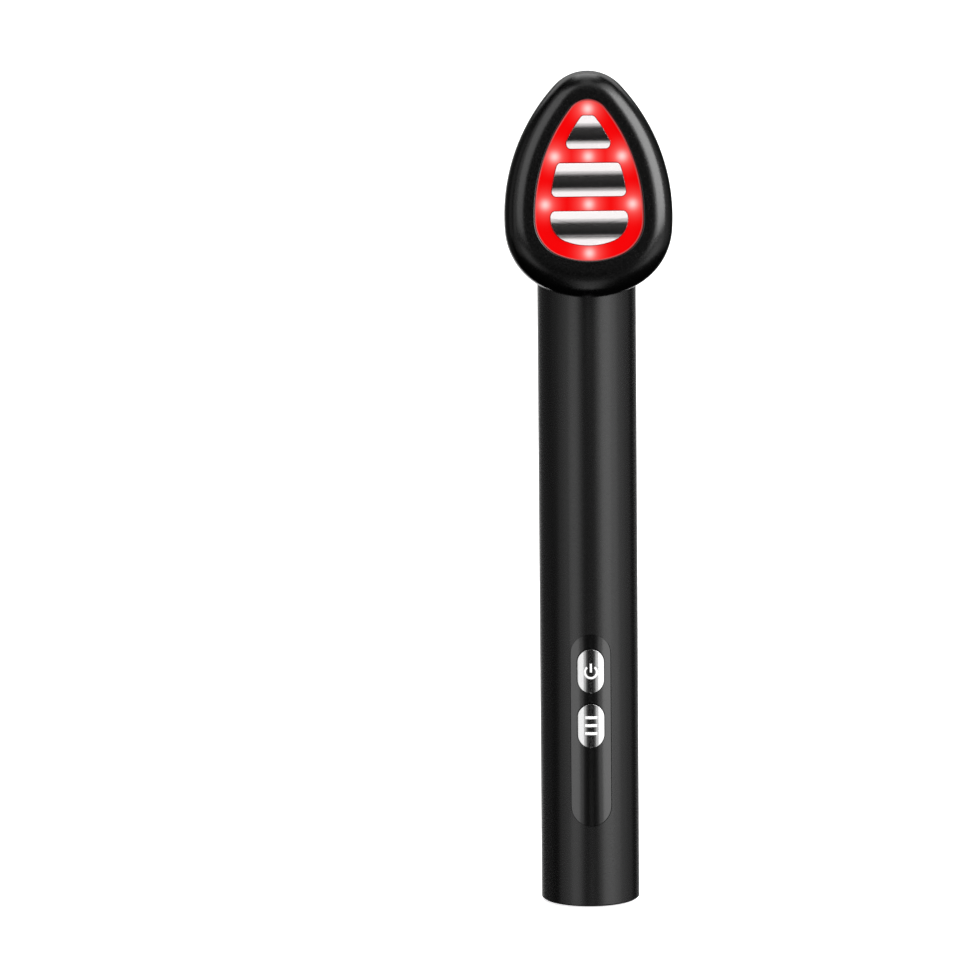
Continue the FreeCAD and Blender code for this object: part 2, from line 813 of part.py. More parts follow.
def toward(centre, target, radius):
    """Point on a circle in the direction of a target."""
    way = target - centre
    way.normalize()
    return centre + way * radius


def teardrop(drop, c):
    """Closed wire of six tangent arcs at height c: two shoulders, two flanks, tip and wide end."""
    tip_r, flank_r, shoulder_r, end_r = drop[2:6]
    tip, flank, shoulder, end = arc_centres(drop)
    low = toward(end, shoulder, end_r)
    side = toward(flank, shoulder, flank_r)
    high = toward(flank, tip, flank_r)
    lift = V(0, 0, c)

    def mirrored(p):
        return V(-p.x, p.y, p.z)

    def arc(centre, start, finish, radius):
        middle = toward(centre, centre + (start - centre) + (finish - centre), radius)
        return Part.Arc(start + lift, middle + lift, finish + lift).toShape()

    edges = [
        arc(shoulder, low, side, shoulder_r),
        arc(flank, side, high, flank_r),
        arc(tip, high, mirrored(high), tip_r),
        arc(mirrored(flank), mirrored(high), mirrored(side), flank_r),
        arc(mirrored(shoulder), mirrored(side), mirrored(low), shoulder_r),
        arc(end, mirrored(low), low, end_r),
    ]
    return Part.Wire(edges)


def drop_prism(drop, c0, c1):
    """Straight block with a teardrop outline."""
    return Part.Face(teardrop(drop, c0)).extrude(V(0, 0, c1 - c0))


def rolled_block(drop, c_open, c_closed, roll_r):
    """Teardrop block whose edge at the closed end is rolled over."""
    solid = drop_prism(drop, *sorted((c_open, c_closed)))
    return solid.makeFillet(roll_r, edges_at(solid, c_closed))


def half_width(drop, b):
    """Half a teardrop's width at height b, from its flank and shoulder arcs."""
    flank_r, shoulder_r = drop[3:5]
    _, flank, shoulder, _ = arc_centres(drop)
    side = toward(flank, shoulder, flank_r)
    if b >= side.y:
        return flank.x + math.sqrt(flank_r ** 2 - (b - flank.y) ** 2)
    return shoulder.x + math.sqrt(shoulder_r ** 2 - (b - shoulder.y) ** 2)


def shell_screw_spots():
    """Places of the four screws that hold the head's halves together."""
    spots = []
    for b in shell_screw_b:
        a = half_width(outer_drop, b) - shell_screw_inset
        spots += [(-a, b), (a, b)]
    return spots


# ---- head: shells ------------------------------------------------------------------------------------
def is_inside(edge, drop):
    """True for an edge that lies within a teardrop."""
    inside = drop_prism(drop, parting_c, 2 * crest_c)
    return inside.isInside(edge.valueAt(edge.FirstParameter), slide_gap, True)


def front_bezel():
    """Rounded rim: rolled over outside and inside, hollow under its crest, with the screws' bosses."""
    body = rolled_block(outer_drop, parting_c, crest_c, rim_roll_r)
    body = body.cut(drop_prism(insert_drop, parting_c, crest_c))
    inner_edge = [e for e in edges_at(body, crest_c) if is_inside(e, inset(insert_drop, -lip_roll_r / 2))]
    body = body.makeFillet(lip_roll_r, inner_edge)
    cavity = drop_prism(inset(outer_drop, shell_wall), parting_c, lip_under_c)
    groove = drop_prism(inset(outer_drop, shell_wall + groove_margin), lip_under_c, groove_c)
    groove = groove.cut(drop_prism(inset(insert_drop, -groove_margin), lip_under_c, groove_c))
    shell = body.cut(cavity).cut(groove)
    bosses = [pin(shell_boss_r, parting_c, groove_c + shell_boss_root, a, b) for a, b in shell_screw_spots()]
    guide_room = drop_prism(inset(insert_drop, -guide_flange - guide_gap), parting_c, lip_under_c)
    bosses = [boss.cut(guide_room) for boss in bosses]
    pilots = [pin(shell_screw_r, parting_c, groove_c, a, b) for a, b in shell_screw_spots()]
    return on_seat(cut_by(joined(shell, *bosses), *pilots))


def back_shell():
    """Rear half: rolled to a flat back, with screw pillars, the pivot's hole and the gasket's groove."""
    rim_c = parting_c - gasket_gap
    body = rolled_block(outer_drop, rim_c, back_c, back_roll_r)
    cavity = drop_prism(inset(outer_drop, shell_wall), floor_c, rim_c)
    cavity = cavity.makeChamfer(back_roll_r - shell_wall, edges_at(cavity, floor_c))
    pillars = [pin(shell_boss_r, floor_c, rim_c, a, b) for a, b in shell_screw_spots()]
    cuts = [pin(shaft_r, back_c, floor_c), pin(stop_pin_r, back_c, floor_c, stop_radius)]
    head_c = back_c + shell_screw_sink + shell_screw_head
    for a, b in shell_screw_spots():
        cuts.append(pin(shell_screw_r, back_c, parting_c, a, b))
        cuts.append(pin(shell_screw_head_r + stack_gap, back_c, head_c, a, b))
    bite_c = floor_c - flange_screw_bite
    cuts += [pin(flange_screw_r, bite_c, floor_c, a, b) for a, b in flange_screw_spots()]
    cuts.append(gasket_band(rim_c + gasket_gap - gasket_height, parting_c))
    return on_seat(cut_by(joined(body.cut(cavity), *pillars), *cuts))


def gasket_band(c0, c1):
    """Band that follows the parting line."""
    outer = drop_prism(inset(outer_drop, gasket_inset), c0, c1)
    return outer.cut(drop_prism(inset(outer_drop, gasket_inset + gasket_width), c0, c1))


def shell_gasket():
    """Soft cord in the rear half's groove."""
    return on_seat(gasket_band(parting_c - gasket_height, parting_c))


def shell_screws():
    """Four screws from the back through the pillars into the rim's bosses."""
    under = back_c + shell_screw_sink + shell_screw_head
    length = groove_c - under - shell_screw_sink
    return on_seat(group([screw(V(a, b, under), Z, length, shell_screw) for a, b in shell_screw_spots()]))


# ---- head: light guide and plates ------------------------------------------------------------------
plate_names = ("lower_plate", "middle_plate", "upper_plate")


def plate_band(name):
    """Limits of a plate along b: the three share what the spaces between them leave."""
    low = insert_foot_b + plate_foot_space + plate_names.index(name) * (plate_height + plate_space)
    return low, low + plate_height


def plate_block(name, grow, c0, c1):
    """Block with a plate's outline, grown all round: the insert's inner teardrop within a band of b."""
    low, high = plate_band(name)
    length, width, _, flank_r, shoulder_r, end_r, foot = inset(insert_drop, plate_margin)
    lower_by = plate_margin - plate_foot_space
    drop = (length + lower_by, width, plate_tip_r, flank_r, shoulder_r, end_r, foot - lower_by)
    shape = drop_prism(inset(drop, -grow), c0, c1)
    band = block(centred(2 * head_width), (low - grow, high + grow), (c0, c1))
    shape = shape.common(band)
    corners = [e for e in shape.Edges if is_sharp_upright(e, (low - grow, high + grow))]
    return shape.makeFillet(plate_corner_r + max(grow, 0) / 2, corners)


def is_sharp_upright(edge, limits):
    """True for the edges square to the seat that lie on a band's limits."""
    box = edge.BoundBox
    upright_edge = box.ZLength > box.XLength + box.YLength
    return upright_edge and min(abs(box.YMin - limit) for limit in limits) < slide_gap


def massage_plate(name):
    """Polished plate crowned along b, with a flange under the light guide."""
    low, high = plate_band(name)
    half = (high - low) / 2
    crown_r = (half ** 2 + plate_crown ** 2) / (2 * plate_crown)
    body = plate_block(name, 0, film_c, plate_top_c)
    axis = V(-head_width, (low + high) / 2, plate_top_c - crown_r)
    body = body.common(rod(crown_r, axis, axis + X * 2 * head_width))
    flange = plate_block(name, plate_flange, film_c, film_c + plate_flange_thick)
    return on_seat(joined(body, flange))


def light_spots():
    """Places of the eight lights: tip, wide end, and three in each space between plates."""
    spots = [(0, insert_tip_b - light_tip), (0, insert_foot_b + light_foot)]
    for name in plate_names[:-1]:
        b = plate_band(name)[1] + plate_space / 2
        side = half_width(insert_drop, b) - light_edge
        spots += [(-side, b), (0, b), (side, b)]
    return spots


def light_guide():
    """Clear insert with three windows, a flange under the rim's lip and a pocket for each light."""
    flange = drop_prism(inset(insert_drop, -guide_flange), board_face_c, lip_under_c - guide_gap)
    window = drop_prism(inset(insert_drop, guide_gap), board_face_c, guide_top_c)
    window = window.makeChamfer(guide_edge, edges_at(window, guide_top_c))
    body = joined(flange, window)
    flange_room_c = film_c + plate_flange_thick + plate_gap
    cuts = []
    for name in plate_names:
        cuts.append(plate_block(name, plate_gap, board_face_c, guide_top_c))
        cuts.append(plate_block(name, plate_flange + plate_gap, board_face_c, flange_room_c))
    for a, b in light_spots():
        reach = light_size / 2 + light_gap
        cuts.append(block((a - reach, a + reach), (b - reach, b + reach),
                          from_to(board_face_c, light_height + light_gap)))
    return on_seat(cut_by(body, *cuts))


def heater_films():
    """Three thin heaters between the board and the plates."""
    return on_seat(group([plate_block(name, -film_inset, board_face_c, film_c) for name in plate_names]))


def led_board():
    """Teardrop board that carries lights, heaters and the driver."""
    board = drop_prism(inset(insert_drop, -head_board_margin), head_board_c, board_face_c)
    return on_seat(board.cut(pin(sensor_r + stack_gap, head_board_c, board_face_c, 0, sensor_place())))


def leds():
    """Eight lights on the board."""
    reach = light_size / 2
    height = from_to(board_face_c, light_height)
    return on_seat(group([block((a - reach, a + reach), (b - reach, b + reach), height)
                          for a, b in light_spots()]))


def sensor_place():
    """Place of the temperature sensor along b: under the middle plate's centre."""
    return sum(plate_band("middle_plate")) / 2


def temperature_sensor():
    """Bead under the middle plate's heater."""
    return on_seat(pin(sensor_r, head_board_c, board_face_c, 0, sensor_place()))


def head_components():
    """Driver chip, resistors and the lead's socket under the light board."""
    parts = [block(centred(driver_size), from_to(driver_b - driver_size / 2, driver_size),
                   (head_board_c - driver_height, head_board_c)),
             block(centred(connector_width), from_to(head_connector_b, connector_height),
                   (head_board_c - connector_depth, head_board_c))]
    resistor_c = (head_board_c - resistor_height, head_board_c)
    for row in range(head_resistor_rows):
        along_b = from_to(head_resistor_b + row * resistor_pitch, resistor_length)
        for side in (-1, 1):
            a = side * head_resistor_side - resistor_width / 2
            parts.append(block(from_to(a, resistor_width), along_b, resistor_c))
    return on_seat(group(parts))


# ---- head: motor ---------------------------------------------------------------------------------------
def across(radius, a0, a1):
    """Round bar along a through the motor's axis, in the seat frame."""
    return rod(radius, V(a0, motor_b, motor_c), V(a1, motor_b, motor_c))


def motor_ends():
    """Left and right ends of the motor's can."""
    return motor_shift - motor_length / 2, motor_shift + motor_length / 2


def motor_can():
    """Small round motor with a bearing nose."""
    left, right = motor_ends()
    nose = across(hub_r, right, right + motor_nose)
    can = joined(across(motor_r, left, right), nose)
    return on_seat(can.cut(across(rotor_shaft_r + running_gap, left + rotor_shaft_length / 2, 2 * right)))


def motor_cradle():
    """Rubber saddle under the motor, resting on the head's floor."""
    left, right = motor_ends()
    body = across(motor_r + boot_wall, left + boot_wall, right - boot_wall)
    foot_b = (motor_b - motor_r, motor_b + motor_r)
    foot = block((left + boot_wall, right - boot_wall), foot_b, (floor_c, motor_c))
    return on_seat(joined(body, foot).cut(across(motor_r, left, right)))


def motor_shaft():
    """Thin shaft that carries the weight."""
    right = motor_ends()[1]
    tail = rotor_shaft_length / 2
    return on_seat(across(rotor_shaft_r, right - tail, right + weight_standoff + weight_length))


def eccentric_weight():
    """Half-round weight on the shaft's end, hanging down."""
    start = motor_ends()[1] + weight_standoff
    disc = across(weight_r, start, start + weight_length)
    hub = across(hub_r, start, start + weight_length)
    axis_z = seat_frame.multVec(V(0, motor_b, motor_c)).z
    upper = block(centred(tube_od), centred(2 * head_length), from_to(axis_z + rotor_shaft_r, tube_od))
    body = joined(on_seat(disc).cut(upper), on_seat(hub))
    return body.cut(on_seat(across(rotor_shaft_r, start, start + weight_length)))


def head_lead():
    """Lead from the pivot's axis up to the socket under the light board."""
    socket_c = head_board_c - connector_depth / 2
    return on_seat(lead([V(0, 0, 0), V(0, 0, socket_c), V(0, head_connector_b, socket_c)]))


# ---- all the pieces ----------------------------------------------------------------------------------
pieces = {
    "handle_tube": handle_tube,
    "end_cap": end_cap,
    "usb_socket_shell": usb_socket_shell,
    "usb_socket_tongue": usb_socket_tongue,
    "control_panel": control_panel,
    "power_button": lambda: key(key_centres["power"]),
    "mode_button": lambda: key(key_centres["mode"]),
    "power_plunger": lambda: plunger(key_centres["power"]),
    "mode_plunger": lambda: plunger(key_centres["mode"]),
    "button_seal": button_seal,
    "switch_bodies": switch_bodies,
    "control_board": control_board,
    "board_components": board_components,
    "board_screws": board_screws,
    "chassis": chassis,
    "chassis_screws": chassis_screws,
    "battery_cell": battery_cell,
    "battery_tabs": battery_tabs,
    "cell_pads": cell_pads,
    "handle_lead": handle_lead,
    "neck_plug": neck_plug,
    "neck_dome": neck_dome,
    "pivot_bush": pivot_bush,
    "friction_ring": friction_ring,
    "wave_washer": wave_washer,
    "pivot_shaft": pivot_shaft,
    "retaining_clip": retaining_clip,
    "stop_pin": stop_pin,
    "flange_screws": flange_screws,
    "back_shell": back_shell,
    "front_bezel": front_bezel,
    "shell_gasket": shell_gasket,
    "shell_screws": shell_screws,
    "light_guide": light_guide,
    "heater_films": heater_films,
    "led_board": led_board,
    "leds": leds,
    "temperature_sensor": temperature_sensor,
    "head_components": head_components,
    "motor_can": motor_can,
    "motor_cradle": motor_cradle,
    "motor_shaft": motor_shaft,
    "eccentric_weight": eccentric_weight,
    "head_lead": head_lead,
}
for plate_name in plate_names:
    pieces[plate_name] = lambda name=plate_name: massage_plate(name)

os.makedirs("parts", exist_ok=True)
for node, make in pieces.items():
    solid = make()
    print(f"{node:20s} solids {len(solid.Solids)} volume {solid.Volume:9.2f} valid {solid.isValid()}")
    solid.exportStep(f"parts/{node}.step")
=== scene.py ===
import json
import math

import bmesh
import bpy
import numpy as np
from mathutils import Matrix, Vector


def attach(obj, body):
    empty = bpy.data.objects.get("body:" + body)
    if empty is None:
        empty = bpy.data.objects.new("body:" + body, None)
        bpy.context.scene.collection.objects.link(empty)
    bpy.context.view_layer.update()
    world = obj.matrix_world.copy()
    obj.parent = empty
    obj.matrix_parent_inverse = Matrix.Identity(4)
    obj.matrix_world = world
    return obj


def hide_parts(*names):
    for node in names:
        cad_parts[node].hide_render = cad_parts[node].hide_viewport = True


# Heated eye massager wand: its looks, laid over the solid model. +Z runs up the handle and the
# front is -Y. The wand's sizes are in millimetres, and the factor MM turns them into metres. The
# studio's are in metres.

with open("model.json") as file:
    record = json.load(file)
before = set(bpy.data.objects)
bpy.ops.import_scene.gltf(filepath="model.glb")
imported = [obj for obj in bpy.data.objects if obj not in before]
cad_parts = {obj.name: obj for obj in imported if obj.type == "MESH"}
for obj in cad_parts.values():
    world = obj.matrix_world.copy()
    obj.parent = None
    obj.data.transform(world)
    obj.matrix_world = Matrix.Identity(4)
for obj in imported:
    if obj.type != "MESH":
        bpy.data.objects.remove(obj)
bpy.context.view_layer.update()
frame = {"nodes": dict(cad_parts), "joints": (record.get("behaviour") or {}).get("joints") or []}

MM = 0.001

# ---- the seat that the head turns on: a to the right, b up the slope, c out of it -----------
swivel = next(joint for joint in frame["joints"] if joint["name"] == "head_swivel")
PIVOT = np.array(swivel["pos_m"])
OUT = np.array(swivel["axis"])
UP = np.array([0.0, OUT[2], -OUT[1]])
RIGHT = np.array([1.0, 0.0, 0.0])

# ---- sizes of the visible forms, as the solids have them ------------------------------------
TUBE_R = 9.75

# Two teardrops: length, width and where the foot lies along b, then the radii of their four arcs.
HEAD = {"length": 44.3, "width": 32.9, "foot": -22.15,
        "tip": 8.8, "flank": 37.6, "shoulder": 13.4, "end": 20.4}
INSERT = {"length": 31.55, "width": 21.2, "foot": -15.2,
          "tip": 4.2, "flank": 34.0, "shoulder": 7.4, "end": 16.0}
ARC_POINTS = 40           # along each arc of a teardrop's outline

# Normal angles up a teardrop's right side, close enough together to look lengths up in.
RIGHT_SIDE = np.linspace(-math.pi / 2, math.pi / 2, 2000)


def on_seat(plane, c):
    """Points from seat coordinates: pivot + a right + b up the slope + c outwards. The plane points
    give a and b, and the heights c may be one row for all of them."""
    a, b, c = np.broadcast_arrays(plane[..., 0], plane[..., 1], c)
    return PIVOT + MM * (a[..., None] * RIGHT + b[..., None] * UP + c[..., None] * OUT)


# ---- teardrop outlines ----------------------------------------------------------------------
def arcs_of(drop):
    """Centres, radii and end angles of a teardrop's arcs on its right side, tip first.

    The arcs touch smoothly, so two neighbours share the direction of the line through their
    centres, and the outward normal turns steadily from +90 degrees at the tip to -90 at the foot.
    """
    tip = np.array([0.0, drop["foot"] + drop["length"] - drop["tip"]])
    flank_a = drop["width"] / 2 - drop["flank"]
    to_tip = drop["flank"] - drop["tip"]
    flank = np.array([flank_a, tip[1] - math.sqrt(to_tip ** 2 - flank_a ** 2)])
    end = np.array([0.0, drop["foot"] + drop["end"]])
    to_flank = drop["flank"] - drop["shoulder"]
    to_end = drop["end"] - drop["shoulder"]
    between = end - flank
    apart = np.hypot(*between)
    along = (to_flank ** 2 - to_end ** 2 + apart ** 2) / (2 * apart)
    aside = math.sqrt(to_flank ** 2 - along ** 2)
    between = between / apart
    shoulder = flank + between * along + np.array([between[1], -between[0]]) * aside
    centres = np.array([tip, flank, shoulder, end])
    radii = np.array([drop["tip"], drop["flank"], drop["shoulder"], drop["end"]])
    joins = [math.pi / 2, math.atan2(*(tip - flank)[::-1]), math.atan2(*(shoulder - flank)[::-1]),
             math.atan2(*(shoulder - end)[::-1]), -math.pi / 2]
    return centres, radii, np.array(joins)


def outline(drop, turn):
    """Points of a teardrop where its outward normal stands at the angles turn: an arc's centre plus
    its radius times the normal."""
    centres, radii, joins = arcs_of(drop)
    turn = np.asarray(turn, float)
    folded = np.arctan2(np.sin(turn), np.abs(np.cos(turn)))
    arc = np.clip(np.searchsorted(-joins, -folded, side="right") - 1, 0, len(radii) - 1)
    a = centres[arc, 0] + radii[arc] * np.cos(folded)
    b = centres[arc, 1] + radii[arc] * np.sin(folded)
    return np.stack([a * np.where(np.cos(turn) < 0, -1.0, 1.0), b], axis=-1)


def turns_round(drop):
    """Normal angles once round a teardrop, clockwise from the tip, evenly spread in each arc."""
    joins = arcs_of(drop)[2]
    arcs = list(zip(joins, joins[1:]))
    down = [np.linspace(high, low, ARC_POINTS, endpoint=False) for high, low in arcs]
    up = [np.linspace(low, high, ARC_POINTS, endpoint=False) for high, low in arcs[::-1]]
    return np.concatenate(down + [-math.pi - np.concatenate(up)])


def normals_at(turn):
    """Unit normals at angles: cosine to the right, sine up."""
    return np.stack([np.cos(turn), np.sin(turn)], axis=-1)


def inset(drop, distance):
    """Teardrop moved inwards by a distance: lengths lose it twice, radii once."""
    smaller = {key: value - distance for key, value in drop.items()}
    smaller["length"] = drop["length"] - 2 * distance
    smaller["width"] = drop["width"] - 2 * distance
    smaller["foot"] = drop["foot"] + distance
    return smaller


# ---- meshes ---------------------------------------------------------------------------------
MERGE_WITHIN = 0.002
SHORTEST_EDGE = 0.0005
SHARP_ANGLE = math.radians(40)


def add_mesh(name, *surfaces):
    """Object from closed surfaces, each as points and faces: points that meet are merged, faces
    turned outwards, and edges above an angle kept sharp."""
    points = np.concatenate([surface[0].reshape(-1, 3) for surface in surfaces])
    starts = np.cumsum([0] + [surface[0].size // 3 for surface in surfaces]).tolist()
    faces = [[corner + start for corner in face] for start, surface in zip(starts, surfaces)
             for face in surface[1]]
    mesh = bpy.data.meshes.new(name)
    mesh.from_pydata(points.tolist(), [], faces)
    work = bmesh.new()
    work.from_mesh(mesh)
    bmesh.ops.remove_doubles(work, verts=work.verts, dist=MERGE_WITHIN * MM)
    bmesh.ops.dissolve_degenerate(work, edges=work.edges, dist=SHORTEST_EDGE * MM)
    bmesh.ops.recalc_face_normals(work, faces=work.faces)
    work.to_mesh(mesh)
    work.free()
    mesh.shade_smooth()
    mesh.set_sharp_from_angle(angle=SHARP_ANGLE)
    piece = bpy.data.objects.new(name, mesh)
    bpy.context.scene.collection.objects.link(piece)
    return piece


def grid_faces(rows, columns, wrap_rows=False, wrap_columns=False):
    """Four-cornered faces between neighbouring points of a grid, closed on itself where asked."""
    i = np.arange(rows if wrap_rows else rows - 1)[:, None]
    j = np.arange(columns if wrap_columns else columns - 1)[None, :]
    ii = (i + 1) % rows
    jj = (j + 1) % columns
    corners = [i * columns + j, i * columns + jj, ii * columns + jj, ii * columns + j]
    corners = [np.broadcast_to(corner, (i.size, j.size)) for corner in corners]
    return np.stack(corners, axis=-1).reshape(-1, 4).tolist()


def fan_faces(ring, centre, backwards=False):
    """Three-cornered faces between a closed ring of point numbers and one centre point."""
    after = np.roll(ring, -1)
    order = (after, ring) if backwards else (ring, after)
    return np.stack([*order, np.full(len(ring), centre)], axis=-1).tolist()


# ---- the head's rim -------------------------------------------------------------------------
PARTING_C = 5.5
CREST_C = 12.6
LIP_UNDER_C = 10.05
SHELL_WALL = 1.3
RIM_ROLL_R = 3.8
LIP_ROLL_R = 0.3
ROLL_ROWS = 18
CREST_ROWS = 6


def head_rim():
    """Rim of the head. The outer roll is a quarter of an ellipse that follows the head's outline
    and widens where the rim does, the inner roll a circle's quarter along the insert, and a level
    crest joins them. The hidden underside closes the section."""
    turns = turns_round(HEAD)
    normal = normals_at(turns)[:, None, :]
    head_edge = outline(HEAD, turns)[:, None, :]
    insert_edge = outline(INSERT, turns)[:, None, :]
    width = np.linalg.norm(head_edge - insert_edge, axis=-1, keepdims=True)
    roll_width = RIM_ROLL_R * width / width.min()
    quarter = np.linspace(0, math.pi / 2, ROLL_ROWS)
    outer = head_edge - roll_width * (1 - np.cos(quarter))[None, :, None] * normal
    outer_c = CREST_C - RIM_ROLL_R * (1 - np.sin(quarter))
    inner = insert_edge + LIP_ROLL_R * (1 - np.sin(quarter))[None, :, None] * normal
    inner_c = CREST_C - LIP_ROLL_R * (1 - np.cos(quarter))
    share = np.linspace(0, 1, CREST_ROWS + 2)[None, 1:-1, None]
    crest = outer[:, -1:, :] + share * (inner[:, :1, :] - outer[:, -1:, :])
    under = [head_edge - SHELL_WALL * normal, head_edge]
    back = [insert_edge, insert_edge + LIP_ROLL_R * normal]
    flat = np.concatenate([*under, outer, crest, inner, *back], axis=1)
    height = np.concatenate([[PARTING_C] * 2, outer_c, [CREST_C] * CREST_ROWS,
                             inner_c, [LIP_UNDER_C] * 2])
    faces = grid_faces(len(turns), len(height), True, True)
    return add_mesh("head_rim", (on_seat(flat, height), faces))


# ---- fine beads -----------------------------------------------------------------------------
BEAD_SIDES = 10
# Painted highlight bead round the insert: how far out, half width, height and half height.
GUIDE_BEAD_OUT = -0.1
GUIDE_BEAD_ACROSS = 0.13
GUIDE_BEAD_C = 11.12
GUIDE_BEAD_TALL = 0.12


def bead_round(edge, normals, out, across, height, tall):
    """Closed bead along an outline: an ellipse's section, moved out from the outline by a distance
    and up to a height. Its half width is across and its half height is tall."""
    turn = np.linspace(0, 2 * math.pi, BEAD_SIDES, endpoint=False)
    offset = out + across * np.cos(turn)
    flat = edge[:, None, :] + offset[None, :, None] * normals[:, None, :]
    points = on_seat(flat, height + tall * np.sin(turn))
    return points, grid_faces(len(edge), BEAD_SIDES, True, True)


def guide_bead():
    """Fine bead along the insert's outline that glows pale red: a painted highlight on the light
    guide's edge.
    """
    turns = turns_round(INSERT)
    bead = bead_round(outline(INSERT, turns), normals_at(turns),
                      GUIDE_BEAD_OUT, GUIDE_BEAD_ACROSS, GUIDE_BEAD_C, GUIDE_BEAD_TALL)
    return add_mesh("guide_bead", bead)


# ---- massage plates -------------------------------------------------------------------------
PLATE_MARGIN = 2.75
PLATE_TIP_R = 2.4
PLATE_CORNER_R = 1.25
PLATE_EASE = {            # a plate's sides, upper and lower edge lie this far inside its window
    "upper_plate": (0.4, 0.08, 0.27),
    "middle_plate": (0.33, -0.04, 0.28),
    "lower_plate": (0.28, 0.04, 0.06),
}
PLATE_DRAFT = 0.12        # the wall under a plate's edge leans in by this
WINDOW_CORNER_R = 1.0
WINDOW_COVER = 0.22       # the lit strip reaches this far past the window
PLATE_TOP_C = 12.2
PLATE_FOOT_C = 9.0
PLATE_FLANGE = 0.35
PLATE_FLANGE_C = 9.5
PLATE_CROWN = 1.0
PLATE_EDGE = 0.008
PLATE_FOOT_SPACE = 3.0
PLATE_TIP_SPACE = 3.05
PLATE_SPACE = 2.55
# Bead of painted shade round each plate: how far out, half width and half height.
EDGE_SHADE_OUT = 0.04
EDGE_SHADE_ACROSS = 0.1
EDGE_SHADE_TALL = 0.08
FRAME_TOP_C = 11.17
FRAME_FOOT_C = 10.7
PLATE_HEIGHT = (INSERT["length"] - PLATE_FOOT_SPACE - PLATE_TIP_SPACE - 2 * PLATE_SPACE) / 3
PLATE_LOW = {name: INSERT["foot"] + PLATE_FOOT_SPACE + row * (PLATE_HEIGHT + PLATE_SPACE)
             for row, name in enumerate(("lower_plate", "middle_plate", "upper_plate"))}
BAND_POINTS = 26          # points along each straight, corner and side of a plate's outline
TOP_RINGS = 14
BEND_ROWS = 7
LEFT_FOR_RIGHT = np.array([-1.0, 1.0])


def rounded_band(drop, low, high, corner_r):
    """Outline points and normals of a teardrop cut off at two heights, with round corners: the
    shape shrunk by the corner radius, then every point pushed out again along its normal."""
    core = inset(drop, corner_r)
    heights = outline(core, RIGHT_SIDE)[:, 1]
    first = np.interp(low + corner_r, heights, RIGHT_SIDE)
    last = np.interp(high - corner_r, heights, RIGHT_SIDE)
    foot_turn, head_turn = -math.pi / 2, math.pi / 2
    flank_turn = np.linspace(first, last, BAND_POINTS)
    flank = outline(core, flank_turn)
    low_end, high_end = flank[0], flank[-1]
    core_points = np.concatenate([
        np.linspace((0.0, low_end[1]), low_end, BAND_POINTS), np.tile(low_end, (BAND_POINTS, 1)),
        flank,
        np.tile(high_end, (BAND_POINTS, 1)), np.linspace(high_end, (0.0, high_end[1]), BAND_POINTS),
    ])
    normals = normals_at(np.concatenate([
        np.full(BAND_POINTS, foot_turn), np.linspace(foot_turn, first, BAND_POINTS),
        flank_turn,
        np.linspace(last, head_turn, BAND_POINTS), np.full(BAND_POINTS, head_turn),
    ]))
    right = core_points + corner_r * normals
    return (np.concatenate([right, right[::-1] * LEFT_FOR_RIGHT]),
            np.concatenate([normals, normals[::-1] * LEFT_FOR_RIGHT]))


def domed_cap(edge, normals, middle, crown_at, edge_r, skirt, place):
    """Closed cap over a rounded outline: a crowned top that runs from the middle to the outline, a
    quarter-round edge, and below it the skirt's rows, each a distance out and a height.

    crown_at gives the top's height at plane points, and place puts plane points and heights in
    space.
    """
    bend = np.linspace(math.pi / 2, 0, BEND_ROWS)
    edge_in = edge_r * (1 - np.cos(bend))
    edge_drop = edge_r * (1 - np.sin(bend))
    inner = edge - edge_r * normals
    spread = np.sin(np.linspace(0, math.pi / 2, TOP_RINGS, endpoint=False))[1:]
    top = middle + spread[:, None, None] * (inner - middle)
    turn_over = edge - edge_in[:, None, None] * normals
    out, levels = np.array(skirt).T
    below = edge + out[:, None, None] * normals
    crown = crown_at(np.concatenate([top, turn_over]))
    crown[len(top):] -= edge_drop[:, None]
    plane = np.concatenate([top, turn_over, below])
    height = np.concatenate([crown, np.broadcast_to(levels[:, None], below.shape[:2])])
    rows, columns = height.shape
    centres = np.array([middle, middle])
    centre_height = np.array([crown_at(centres)[0], levels[-1]])
    points = np.concatenate([place(plane, height).reshape(-1, 3), place(centres, centre_height)])
    faces = grid_faces(rows, columns, wrap_columns=True)
    faces += fan_faces(np.arange(columns), rows * columns)
    faces += fan_faces(np.arange(columns) + (rows - 1) * columns, rows * columns + 1, True)
    return points, faces


def window_slice(name, corner_r):
    """Outline and normals of a plate's window, a slice of the insert's inner teardrop, and the
    height half way up it."""
    low = PLATE_LOW[name]
    high = low + PLATE_HEIGHT
    drop = dict(inset(INSERT, PLATE_MARGIN), tip=PLATE_TIP_R)
    drop["foot"] -= PLATE_MARGIN - PLATE_FOOT_SPACE
    drop["length"] += PLATE_MARGIN - PLATE_FOOT_SPACE
    return *rounded_band(drop, low, high, corner_r), (low + high) / 2


def plate_outline(name):
    """The window's slice, with its sides, upper edge and lower edge each drawn in by their ease."""
    edge, normals, mid = window_slice(name, PLATE_CORNER_R)
    side, upper, lower = PLATE_EASE[name]
    up = normals[:, 1]
    ease = np.stack([side * normals[:, 0], np.where(up > 0, upper, lower) * up], axis=-1)
    return edge - ease, normals, mid


def window_frame(name):
    """Lit strip of the light guide, a level ring from a plate to a little past its window."""
    outer, normals, _ = window_slice(name, WINDOW_CORNER_R)
    outer = outer + WINDOW_COVER * normals
    inner = plate_outline(name)[0]
    flat = np.stack([outer, outer, inner, inner], axis=1)
    level = np.array([FRAME_FOOT_C, FRAME_TOP_C, FRAME_TOP_C, FRAME_FOOT_C])
    faces = grid_faces(len(outer), len(level), True, True)
    return add_mesh(name + "_frame", (on_seat(flat, level), faces))


